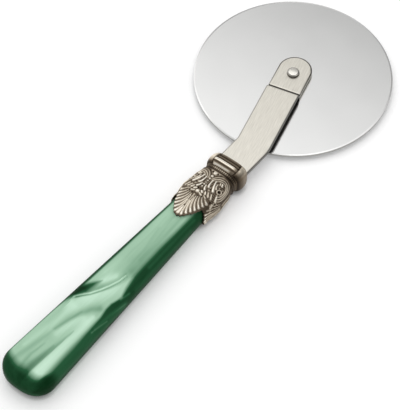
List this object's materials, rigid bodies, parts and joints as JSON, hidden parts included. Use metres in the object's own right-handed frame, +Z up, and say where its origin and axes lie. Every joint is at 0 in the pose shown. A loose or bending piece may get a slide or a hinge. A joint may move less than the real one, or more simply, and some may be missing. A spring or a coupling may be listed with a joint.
{
  "type": "pizza cutter",
  "caption": "Pizza cutter: plain disc wheel riveted to a dog-legged steel strip arm, cast collar with leaf points, and a tapered resin knife-style handle.",
  "frame": {"origin": "on the wheel axle, at the outer face of the rear rivet head, which is the plane the cutter lies on", "axes": "+X along the handle from the butt to the wheel, +Z up along the axle from the rear head to the button head, +Y to the side the wheel is offset to"},
  "size_m": [0.2215, 0.08, 0.0124],
  "materials": {
    "handle_resin": "pearl green cast resin, polished",
    "tang_cement": "cured epoxy",
    "collar_silver": "antique silver plate on a casting, dark in the recesses",
    "arm_steel": "satin stainless steel",
    "wheel_steel": "polished stainless steel",
    "rivet_steel": "polished stainless steel",
    "washer_nylon": "natural nylon"
  },
  "bodies": {
    "frame": {"handle_grip": "handle_resin", "tang_cement": "tang_cement", "collar": "collar_silver", "arm": "arm_steel", "front_washer": "washer_nylon", "rear_washer": "washer_nylon", "axle_rivet": "rivet_steel"},
    "wheel": {"cutting_wheel": "wheel_steel"}
  },
  "joints": [
    {"name": "wheel_spin", "type": "hinge", "parent": "frame", "child": "wheel", "pos_m": [0, 0, 0.00265], "axis": [0, 0, 1], "continuous": true}
  ]
}
